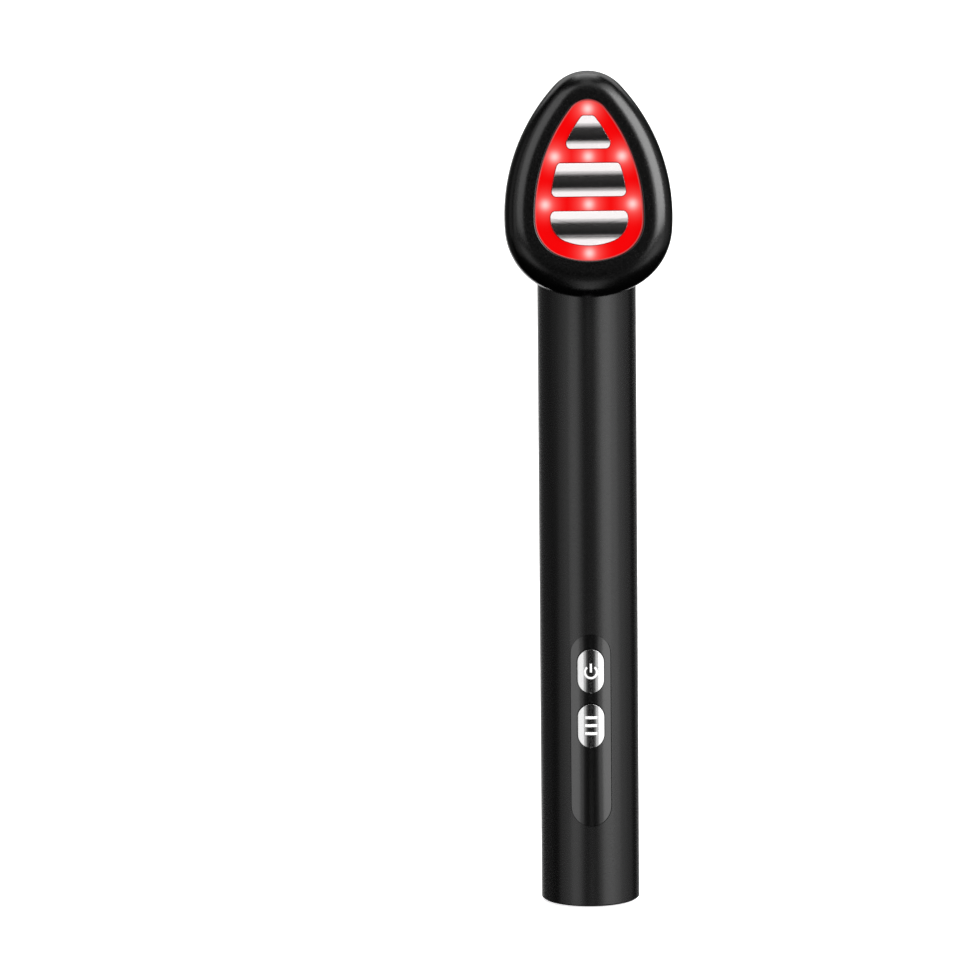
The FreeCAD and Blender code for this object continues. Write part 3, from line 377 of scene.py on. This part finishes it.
def massage_plate(name):
    """Polished plate whose top is a circle's arc along b, with its flange under the light guide."""
    edge, normals, mid = plate_outline(name)
    half = PLATE_HEIGHT / 2
    crown_r = (half ** 2 + PLATE_CROWN ** 2) / (2 * PLATE_CROWN)

    def crown_at(plane):
        return PLATE_TOP_C - crown_r + np.sqrt(crown_r ** 2 - (plane[..., 1] - mid) ** 2)

    skirt = [(-PLATE_DRAFT, PLATE_FLANGE_C), (PLATE_FLANGE, PLATE_FLANGE_C),
             (PLATE_FLANGE, PLATE_FOOT_C)]
    middle = np.array([0.0, mid])
    return add_mesh(name + "_face",
                    domed_cap(edge, normals, middle, crown_at, PLATE_EDGE, skirt, on_seat))


def plate_edge_shade(name):
    """Fine dark bead on a plate's edge, painted shade there, made dim red by a painted glow."""
    edge, normals, _ = plate_outline(name)
    return add_mesh(name + "_seal",
                    bead_round(edge, normals, EDGE_SHADE_OUT, EDGE_SHADE_ACROSS, FRAME_TOP_C, EDGE_SHADE_TALL))


# ---- keys -----------------------------------------------------------------------------------
KEY_WIDTH = 5.25
KEY_LENGTH = 8.75
KEY_RISE = 0.35
KEY_FRONT = TUBE_R + KEY_RISE
KEY_CROWN = 0.6
KEY_EDGE = 0.02
KEY_Z = {"power_button": 47.7, "mode_button": 36.65}
KEY_FLANGE = 0.45
KEY_FLANGE_FRONT = 7.17
KEY_FLANGE_BACK = 6.77
KEY_STEM_R = 1.0
KEY_STEM_ROOT = 6.95
KEY_STEM_BACK = 5.4
KEY_POINTS = 24           # points along each straight and each half circle of a key's outline
STEM_SIDES = 32


def on_front(z):
    """Function that puts a key's points in space: plane points go across and up from the height z,
    and the lengths beside them run out from the handle's axis to the front."""
    return lambda plane, out: MM * np.stack([plane[..., 0], -out, z + plane[..., 1]], axis=-1)


def key_crown_at(plane):
    """Distance of a key's top from the handle's axis: a circle's arc across the key."""
    crown_r = ((KEY_WIDTH / 2) ** 2 + KEY_CROWN ** 2) / (2 * KEY_CROWN)
    return KEY_FRONT - crown_r + np.sqrt(crown_r ** 2 - plane[..., 0] ** 2)


def stadium(width, length):
    """Outline and normals of two half circles joined by straights: each point is the half width
    along its normal from a centre that runs up, stays, runs down and stays."""
    straight = (length - width) / 2
    still = np.ones(KEY_POINTS)
    half_turn = np.linspace(0, math.pi, KEY_POINTS)
    run = np.linspace(-straight, straight, KEY_POINTS)
    normals = normals_at(np.concatenate([0 * still, half_turn, math.pi * still,
                                         math.pi + half_turn]))
    centre = np.concatenate([run, straight * still, run[::-1], -straight * still])
    return width / 2 * normals + centre[:, None] * np.array([0.0, 1.0]), normals


def key_stem(z):
    """Round stem behind a key, closed at both ends."""
    circle = normals_at(np.linspace(0, 2 * math.pi, STEM_SIDES, endpoint=False))
    radius = np.array([0.0, KEY_STEM_R, KEY_STEM_R, 0.0])
    out = np.array([KEY_STEM_ROOT, KEY_STEM_ROOT, KEY_STEM_BACK, KEY_STEM_BACK])
    plane = radius[:, None, None] * circle
    points = on_front(z)(plane, np.broadcast_to(out[:, None], plane.shape[:2]))
    return points, grid_faces(len(radius), STEM_SIDES, wrap_columns=True)


def push_key(name):
    """Crowned stadium key with its flange and stem."""
    z = KEY_Z[name]
    edge, normals = stadium(KEY_WIDTH, KEY_LENGTH)
    skirt = [(0.0, KEY_FLANGE_FRONT), (KEY_FLANGE, KEY_FLANGE_FRONT), (KEY_FLANGE, KEY_FLANGE_BACK)]
    cap = domed_cap(edge, normals, np.zeros(2), key_crown_at, KEY_EDGE, skirt, on_front(z))
    return add_mesh(name + "_cap", cap, key_stem(z))


# ---- marks on the keys ----------------------------------------------------------------------
MARK_RISE = 0.05
STROKE_ACROSS = np.array([-1.0, -1.0, -0.8, 0.8, 1.0, 1.0])     # shares of the half width
STROKE_RISE = np.array([-1.0, 0.4, 1.0, 1.0, 0.4, -1.0])        # shares of the rise
STROKE_POINTS = 12
RING_POINTS = 60
RING_R = 1.2
RING_STROKE = 0.21
RING_Z = -0.17
RING_GAP = math.radians(38)
BAR_FOOT = -0.2
BAR_TOP = 1.55
BAR_STROKE = 0.22
LINE_HALF_LENGTH = 1.22
LINE_STROKE = 0.28
LINE_PITCH = 1.6
LINE_Z = 0.1


def raised_mark(path, half_width, z):
    """Enamel stroke along a path on a key: a low flat section with eased edges, laid on the key's
    crown and closed at both ends."""
    along = np.gradient(path, axis=0)
    along /= np.linalg.norm(along, axis=-1, keepdims=True)
    side = np.stack([along[:, 1], -along[:, 0]], axis=-1)
    across = half_width * STROKE_ACROSS
    plane = path[:, None, :] + across[None, :, None] * side[:, None, :]
    out = key_crown_at(plane) + MARK_RISE * STROKE_RISE
    rows = np.concatenate([[0], np.arange(len(path)), [len(path) - 1]])
    plane, out = plane[rows], out[rows]
    plane[[0, -1]] = plane[[0, -1]].mean(axis=1, keepdims=True)
    out[[0, -1]] = out[[0, -1]].mean(axis=1, keepdims=True)
    return on_front(z)(plane, out), grid_faces(len(rows), len(across), wrap_columns=True)


def straight_stroke(z, start, end, half_width):
    """Straight enamel stroke between two plane points."""
    return raised_mark(np.linspace(start, end, STROKE_POINTS), half_width, z)


def power_mark():
    """Ring that is open at the top, and a bar that stands in the opening."""
    z = KEY_Z["power_button"]
    top = math.pi / 2
    turn = np.linspace(top + RING_GAP, top + 2 * math.pi - RING_GAP, RING_POINTS)
    ring = RING_R * normals_at(turn) + np.array([0.0, RING_Z])
    return add_mesh("power_mark", raised_mark(ring, RING_STROKE, z),
                    straight_stroke(z, (0.0, BAR_FOOT), (0.0, BAR_TOP), BAR_STROKE))


def mode_mark():
    """Three level lines, one above the other."""
    heights = [row * LINE_PITCH + LINE_Z for row in (-1, 0, 1)]
    lines = [straight_stroke(KEY_Z["mode_button"], (-LINE_HALF_LENGTH, height),
                             (LINE_HALF_LENGTH, height), LINE_STROKE) for height in heights]
    return add_mesh("mode_mark", *lines)


# ---- finishes -------------------------------------------------------------------------------
FINE_DETAIL = 3.0
BROAD_DETAIL = 2.0
BROAD_GRAIN = 18          # millimetres across a patch of the mottling
NOISE_SPAN = (0.25, 0.75)     # nearly all the noise lies in here
WORN_SPAN = (0.52, 0.62)      # pointiness from plain surface to worn edge
WORN_PALER = 1.5
RELIEF = 0.6
MIX_FIRST, MIX_SECOND, MIX_RESULT = 6, 7, 2     # where a mix node keeps its colours


def node(tree, kind, **settings):
    """New shader node with its settings and unlinked inputs filled in."""
    made = tree.nodes.new(kind)
    for key, value in settings.items():
        if key in made.inputs:
            made.inputs[key].default_value = value
        else:
            setattr(made, key, value)
    return made


def grain(tree, coords, size, detail):
    """Even noise whose grains are size across, in object space."""
    noise = node(tree, "ShaderNodeTexNoise", Scale=1 / size, Detail=detail, Roughness=0.6)
    tree.links.new(coords.outputs["Object"], noise.inputs["Vector"])
    return noise.outputs["Fac"]


def ranged(tree, factor, span, low, high):
    """Factor's span carried onto the range low to high, and held at its ends."""
    ramp = node(tree, "ShaderNodeMapRange")
    ends = zip(("From Min", "From Max", "To Min", "To Max"), (*span, low, high))
    for key, value in ends:
        ramp.inputs[key].default_value = value
    tree.links.new(factor, ramp.inputs["Value"])
    return ramp.outputs["Result"]


def blended(tree, factor, first, second):
    """Colour between two, each a constant or a socket, by a factor."""
    mix = node(tree, "ShaderNodeMix", data_type="RGBA")
    tree.links.new(factor, mix.inputs["Factor"])
    for socket, colour in ((mix.inputs[MIX_FIRST], first), (mix.inputs[MIX_SECOND], second)):
        if isinstance(colour, tuple):
            socket.default_value = (*colour, 1.0)
        else:
            tree.links.new(colour, socket)
    return mix.outputs[MIX_RESULT]


def surface_finish(name, colour, rough, metal=0.0, spread=0.12, grain_size=0.25, bump=0.02,
                   wear=0.25, rough_spread=0.06, gloss=0.5, ior=1.5, lit=None, paler=0.02):
    """Material with mottled colour, uneven roughness, a fine grain in relief and paler worn edges.
    A colour for lit paints a glow on it, light from no lamp."""
    material = bpy.data.materials.new(name)
    material.use_nodes = True
    tree = material.node_tree
    shader = tree.nodes["Principled BSDF"]
    coords = node(tree, "ShaderNodeTexCoord")
    fine = grain(tree, coords, grain_size * MM, FINE_DETAIL)
    broad = grain(tree, coords, BROAD_GRAIN * MM, BROAD_DETAIL)
    darker = tuple(channel * (1 - spread) for channel in colour)
    lighter = tuple(min(1.0, channel * (1 + spread)) for channel in colour)
    mottled = blended(tree, ranged(tree, broad, NOISE_SPAN, 0.0, 1.0), darker, lighter)
    worn = tuple(min(1.0, channel * WORN_PALER + paler) for channel in colour)
    edges = node(tree, "ShaderNodeNewGeometry")
    edge_share = ranged(tree, edges.outputs["Pointiness"], WORN_SPAN, 0.0, wear)
    tree.links.new(blended(tree, edge_share, mottled, worn), shader.inputs["Base Color"])
    uneven = ranged(tree, fine, NOISE_SPAN, max(0.0, rough - rough_spread), rough + rough_spread)
    tree.links.new(uneven, shader.inputs["Roughness"])
    relief = node(tree, "ShaderNodeBump", Strength=RELIEF, Distance=bump * MM)
    tree.links.new(fine, relief.inputs["Height"])
    tree.links.new(relief.outputs["Normal"], shader.inputs["Normal"])
    shader.inputs["Metallic"].default_value = metal
    shader.inputs["Specular IOR Level"].default_value = gloss
    shader.inputs["IOR"].default_value = ior
    if lit:
        shader.inputs["Emission Color"].default_value = (*lit, 1.0)
        shader.inputs["Emission Strength"].default_value = 1.0
    return material


BLACK = (0.011, 0.011, 0.011)
DEEP_BLACK = (0.0006, 0.0006, 0.0006)
SOFT_BLACK = (0.002, 0.002, 0.002)
FINISHES = {
    "black_tube": dict(colour=SOFT_BLACK, rough=0.26, rough_spread=0.04, grain_size=0.12,
                       bump=0.0008, gloss=0.95, paler=0.001),
    "head_black": dict(colour=DEEP_BLACK, rough=0.24, rough_spread=0.05, grain_size=0.4, bump=0.012,
                       paler=0.001),
    "black_plastic": dict(colour=BLACK, rough=0.42),
    "gloss_panel": dict(colour=DEEP_BLACK, rough=0.17, rough_spread=0.02, bump=0.0005, gloss=1.0,
                        ior=1.64, paler=0.001),
    "socket_steel": dict(colour=(0.55, 0.55, 0.56), rough=0.3, metal=1.0),
    "chrome_key": dict(colour=(0.92, 0.92, 0.92), rough=0.13, rough_spread=0.02, metal=1.0,
                       bump=0.0006, spread=0.02),
    "chrome_plate": dict(colour=(0.88, 0.84, 0.84), rough=0.15, rough_spread=0.015, metal=1.0,
                         bump=0.0008, spread=0.02),
    "led_red": dict(colour=(0.8, 0.05, 0.04), rough=0.3),
    "inner_plastic": dict(colour=(0.05, 0.05, 0.052), rough=0.5),
    "soft_rubber": dict(colour=(0.03, 0.03, 0.03), rough=0.7),
    "board_green": dict(colour=(0.02, 0.16, 0.06), rough=0.4),
    "board_white": dict(colour=(0.7, 0.7, 0.68), rough=0.4),
    "chip_black": dict(colour=(0.02, 0.02, 0.022), rough=0.45),
    "screw_steel": dict(colour=(0.6, 0.6, 0.6), rough=0.32, metal=1.0),
    "cell_wrap": dict(colour=(0.05, 0.13, 0.35), rough=0.3),
    "nickel": dict(colour=(0.66, 0.64, 0.58), rough=0.28, metal=1.0),
    "lead_jacket": dict(colour=(0.25, 0.02, 0.02), rough=0.5),
    "bush_brass": dict(colour=(0.65, 0.46, 0.18), rough=0.3, metal=1.0),
    "film_amber": dict(colour=(0.5, 0.22, 0.04), rough=0.35),
    "bead_black": dict(colour=(0.02, 0.02, 0.02), rough=0.5),
    "motor_steel": dict(colour=(0.6, 0.6, 0.62), rough=0.25, metal=1.0),
    # White enamel print on the keys; its glow is painted light that keeps it white under any lamp.
    "enamel_and_painted_glow": dict(colour=(0.86, 0.86, 0.86), rough=0.35, spread=0.03,
                        lit=(0.25, 0.25, 0.25)),
    # Painted shade at the plates' edges: a dark bead made dim red by a painted glow, standing for
    # the lit guide in shade.
    "seal_red": dict(colour=(0.03, 0.001, 0.001), rough=0.6, gloss=0.1, lit=(0.3, 0.003, 0.003)),
    # Painted highlight along the insert's edge: a pale red glow from no lamp, and lit by the lamps
    # as well.
    "bead_painted_highlight": dict(colour=(0.15, 0.03, 0.03), rough=0.45, gloss=0.2, lit=(0.4, 0.05, 0.05)),
}
materials = {slot: surface_finish(slot, **values) for slot, values in FINISHES.items()}


# ---- light guide ----------------------------------------------------------------------------
LIGHT_FOOT_SPACE = 1.55   # from the guide's foot to the lowest light
LIGHT_TIP_SPACE = 1.8
LIGHT_SIDE_SPACE = 2.0
GUIDE_TOP_C = 11.15
GUIDE_EDGE = outline(INSERT, RIGHT_SIDE)
LIGHT_ROWS = [PLATE_LOW[name] - PLATE_SPACE / 2 for name in ("upper_plate", "middle_plate")]
LIGHT_REACHES = np.interp(LIGHT_ROWS, GUIDE_EDGE[:, 1], GUIDE_EDGE[:, 0]) - LIGHT_SIDE_SPACE
LIGHT_SPOTS = [
    (0.0, INSERT["foot"] + LIGHT_FOOT_SPACE),
    (0.0, INSERT["foot"] + INSERT["length"] - LIGHT_TIP_SPACE),
    *((side * reach, b) for b, reach in zip(LIGHT_ROWS, LIGHT_REACHES) for side in (-1, 0, 1)),
]
RESIN_RED = (0.06, 0.0, 0.0)
LIT_RED = (0.9, 0.001, 0.002)
GLOW_RED = (1.0, 0.14, 0.13)
CORE_PINK = (1.0, 0.7, 0.68)
GLOW_REACH = 2.2
CORE_REACH = 0.92
GUIDE_LIGHT = 0.95


def reckoned(tree, operation, *terms):
    """Output of a math node over its terms, each a constant or a socket."""
    made = node(tree, "ShaderNodeMath", operation=operation)
    for socket, term in zip(made.inputs, terms):
        if isinstance(term, float):
            socket.default_value = term
        else:
            tree.links.new(term, socket)
    return made.outputs[0]


def bell(tree, distance, reach):
    """Bell curve of a distance: e to the minus square of distance over reach."""
    square = reckoned(tree, "POWER", reckoned(tree, "DIVIDE", distance, reach * MM), 2.0)
    return reckoned(tree, "EXPONENT", reckoned(tree, "MULTIPLY", square, -1.0))


def nearest_light(tree):
    """Distance to the nearest of the lights behind the guide."""
    coords = node(tree, "ShaderNodeTexCoord")
    nearest = None
    for place in on_seat(np.array(LIGHT_SPOTS), GUIDE_TOP_C).tolist():
        apart = node(tree, "ShaderNodeVectorMath", operation="DISTANCE")
        tree.links.new(coords.outputs["Object"], apart.inputs[0])
        apart.inputs[1].default_value = place
        distance = apart.outputs["Value"]
        nearest = distance if nearest is None else reckoned(tree, "MINIMUM", nearest, distance)
    return nearest


def glowing_red():
    """Lit red resin: red all over, with a wide glow and a narrow pale core over each light."""
    material = surface_finish("red_guide", RESIN_RED, rough=0.35, bump=0.001, wear=0.0, gloss=0.03)
    tree = material.node_tree
    shader = tree.nodes["Principled BSDF"]
    nearest = nearest_light(tree)
    glow = blended(tree, bell(tree, nearest, GLOW_REACH), LIT_RED, GLOW_RED)
    colour = blended(tree, bell(tree, nearest, CORE_REACH), glow, CORE_PINK)
    tree.links.new(colour, shader.inputs["Emission Color"])
    shader.inputs["Emission Strength"].default_value = GUIDE_LIGHT
    return material


materials["red_guide"] = glowing_red()


# ---- the solid model's own nodes get these finishes -----------------------------------------
for solid in frame["nodes"].values():
    for place in solid.material_slots:
        place.material = materials[place.material.name.split(".")[0]]


def dress(piece, slot, body, *nodes):
    """Gives a new piece its finish and body, and lets it stand for the nodes that it replaces."""
    piece.data.materials.append(materials[slot])
    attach(piece, body)
    if nodes:
        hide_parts(*nodes)
    return piece


def detail(piece, slot, finish, body):
    """Fine piece that stands for no node: the slot's material is put on it first, then swapped for
    its finish.
    """
    dress(piece, slot, body)
    piece.data.materials[0] = materials[finish]


dress(head_rim(), "head_black", "head", "front_bezel")
# Bead with a painted highlight round the insert's edge.
detail(guide_bead(), "red_guide", "bead_painted_highlight", "head")
for name in PLATE_LOW:
    dress(massage_plate(name), "chrome_plate", "head", name)
    # Each plate gets a bead of painted shade along its edge.
    detail(plate_edge_shade(name), "soft_rubber", "seal_red", "head")
    detail(window_frame(name), "red_guide", "red_guide", "head")
for name, body in (("power_button", "power_key"), ("mode_button", "mode_key")):
    dress(push_key(name), "chrome_key", body, name)
# The marks' white enamel carries a painted glow.
detail(power_mark(), "chrome_key", "enamel_and_painted_glow", "power_key")
detail(mode_mark(), "chrome_key", "enamel_and_painted_glow", "mode_key")


# ---- studio ---------------------------------------------------------------------------------
ELEVATION = 10.5
AZIMUTH = -1.9
TARGET = Vector((0.0, 0.0, 0.08207))
DISTANCE = 2.0
FIELD = 0.19195           # width that the frame covers at the wand
SENSOR = 36.0
ROLL = math.radians(-0.39)
FRAME_PIXELS = 970        # across the frame
SHIFT_X = -102.9 / FRAME_PIXELS
SHIFT_Y = 11.1 / FRAME_PIXELS
CLIP_END = 50
BOX_DISTANCE = 1.5
FLOOR_REACH = 30.0
FLOOR_LEVEL = -0.0004
WHITE = (1.0, 1.0, 1.0)
PALE = (0.9, 0.9, 0.9)
FLOOR_LIGHT = 0.8
REFLECTED_GREY = (0.004, 0.004, 0.004)


def toward_front(azimuth, elevation):
    """Unit direction from the wand: azimuth to the right of the front and elevation above the
    horizon, both in degrees."""
    az, el = math.radians(azimuth), math.radians(elevation)
    return Vector((math.sin(az) * math.cos(el), -math.cos(az) * math.cos(el), math.sin(el)))


def studio_camera():
    """Camera in front of the wand and a little above it, shifted so that the wand stands to the
    right of the frame's middle."""
    data = bpy.data.cameras.new("camera")
    data.sensor_width = SENSOR
    data.lens = SENSOR * DISTANCE / FIELD
    data.shift_x = SHIFT_X
    data.shift_y = SHIFT_Y
    data.clip_end = CLIP_END
    camera = bpy.data.objects.new("camera", data)
    bpy.context.scene.collection.objects.link(camera)
    view = toward_front(AZIMUTH, ELEVATION)
    camera.location = TARGET + view * DISTANCE
    roll = Matrix.Rotation(ROLL, 3, "Z").to_quaternion()
    camera.rotation_euler = (view.to_track_quat("Z", "Y") @ roll).to_euler()
    bpy.context.scene.camera = camera


def soft_box(name, azimuth, elevation, wide, tall, radiance, distance=BOX_DISTANCE):
    """Rectangular area light that faces the wand. Its width and height are the angles, in degrees,
    that it fills as seen from the wand, and its power is radiance times pi times its area."""
    data = bpy.data.lights.new(name, "AREA")
    data.shape = "RECTANGLE"
    data.size = 2 * distance * math.tan(math.radians(wide / 2))
    data.size_y = 2 * distance * math.tan(math.radians(tall / 2))
    data.energy = radiance * math.pi * data.size * data.size_y
    light = bpy.data.objects.new(name, data)
    bpy.context.scene.collection.objects.link(light)
    away = toward_front(azimuth, elevation)
    light.location = TARGET + away * distance
    light.rotation_euler = away.to_track_quat("Z", "Y").to_euler()
    light.visible_camera = False


# name, azimuth, elevation, width and height in degrees, radiance, and how far off if not as usual
SOFT_BOXES = [
    ("right_upper", 51, 25, 43, 36, 8.0),
    ("right_top", 51, 50, 27, 16, 2.5),
    ("right_inner", 23.5, 25, 8.5, 50, 2.2),
    ("right_start", 16.5, -11, 7, 18, 0.07),
    ("right_edge", 24.5, -11, 9, 18, 0.5),
    ("right_lower", 43.5, -11, 27, 16, 1.32),
    ("right_side", 66, -11, 18, 16, 0.9),
    ("right_fade", 86, 8, 20, 56, 0.38),
    ("right_far", 106, 8, 20, 56, 0.2),
    ("left_upper", -33, 28, 31, 40, 2.1),
    ("left_inner", -14.5, 30, 6, 40, 0.55),
    ("left_shoulder", -60, 24, 18, 48, 0.7),
    ("left_start", -13, -11, 7, 18, 0.05),
    ("left_edge", -21, -11, 9, 18, 0.4),
    ("left_lower", -36, -11, 21, 16, 0.98),
    ("left_side", -54, -11, 15, 16, 0.5),
    ("left_fade", -70, -11, 16, 20, 0.28),
    ("left_far", -88, 12, 20, 40, 0.3),
    ("left_rear", -119, 0, 38, 60, 0.07),
    ("top_main", 2, 64, 12, 34, 1.15),
    ("top_edge", 2, 43, 12, 8, 0.62),
    ("top_fade", 2, 36.5, 12, 5, 0.24),
    ("overhead_front", 0, 84, 30, 10, 1.5),
    ("overhead_rear", 0, 104, 30, 28, 3.3),
    ("low_main", 2, -42.5, 12, 37, 1.15),
    ("low_edge", 2, -20.8, 8, 6.4, 0.62),
    ("low_near", 2, 1.2, 9.7, 3.4, 0.34, 0.2),
    ("low_fade", 2, 4.6, 9.7, 3.4, 0.16, 0.2),
    ("back_strip", 180, -2, 44, 56, 1.1),
    ("back_right", 149, 0, 18, 60, 0.2),
    ("back_left", -149, 0, 20, 60, 0.2),
    ("back_high", 180, 52, 90, 34, 1.7),
]


def floor_plane():
    """Plain pale floor, a wide flat sheet under the foot."""
    corners = [(x * FLOOR_REACH, y * FLOOR_REACH, FLOOR_LEVEL)
               for x, y in ((-1, -1), (1, -1), (1, 1), (-1, 1))]
    floor = add_mesh("floor", (np.array(corners), [range(4)]))
    material = bpy.data.materials.new("pale_floor")
    material.use_nodes = True
    shader = material.node_tree.nodes["Principled BSDF"]
    shader.inputs["Base Color"].default_value = (*PALE, 1.0)
    shader.inputs["Roughness"].default_value = 0.9
    shader.inputs["Specular IOR Level"].default_value = 0.0
    shader.inputs["Emission Color"].default_value = (*WHITE, 1.0)
    shader.inputs["Emission Strength"].default_value = FLOOR_LIGHT
    floor.data.materials.append(material)
    floor.visible_glossy = False
    floor.visible_diffuse = False
    floor.visible_shadow = False


def pale_world():
    """Background: pale to the camera, nearly dark for reflections."""
    world = bpy.data.worlds.new("studio")
    bpy.context.scene.world = world
    world.use_nodes = True
    tree = world.node_tree
    background = tree.nodes["Background"]
    path = node(tree, "ShaderNodeLightPath")
    colour = blended(tree, path.outputs["Is Camera Ray"], REFLECTED_GREY, WHITE)
    tree.links.new(colour, background.inputs["Color"])


studio_camera()
floor_plane()
pale_world()
for light in SOFT_BOXES:
    soft_box(*light)
bpy.context.scene.view_settings.view_transform = "Standard"
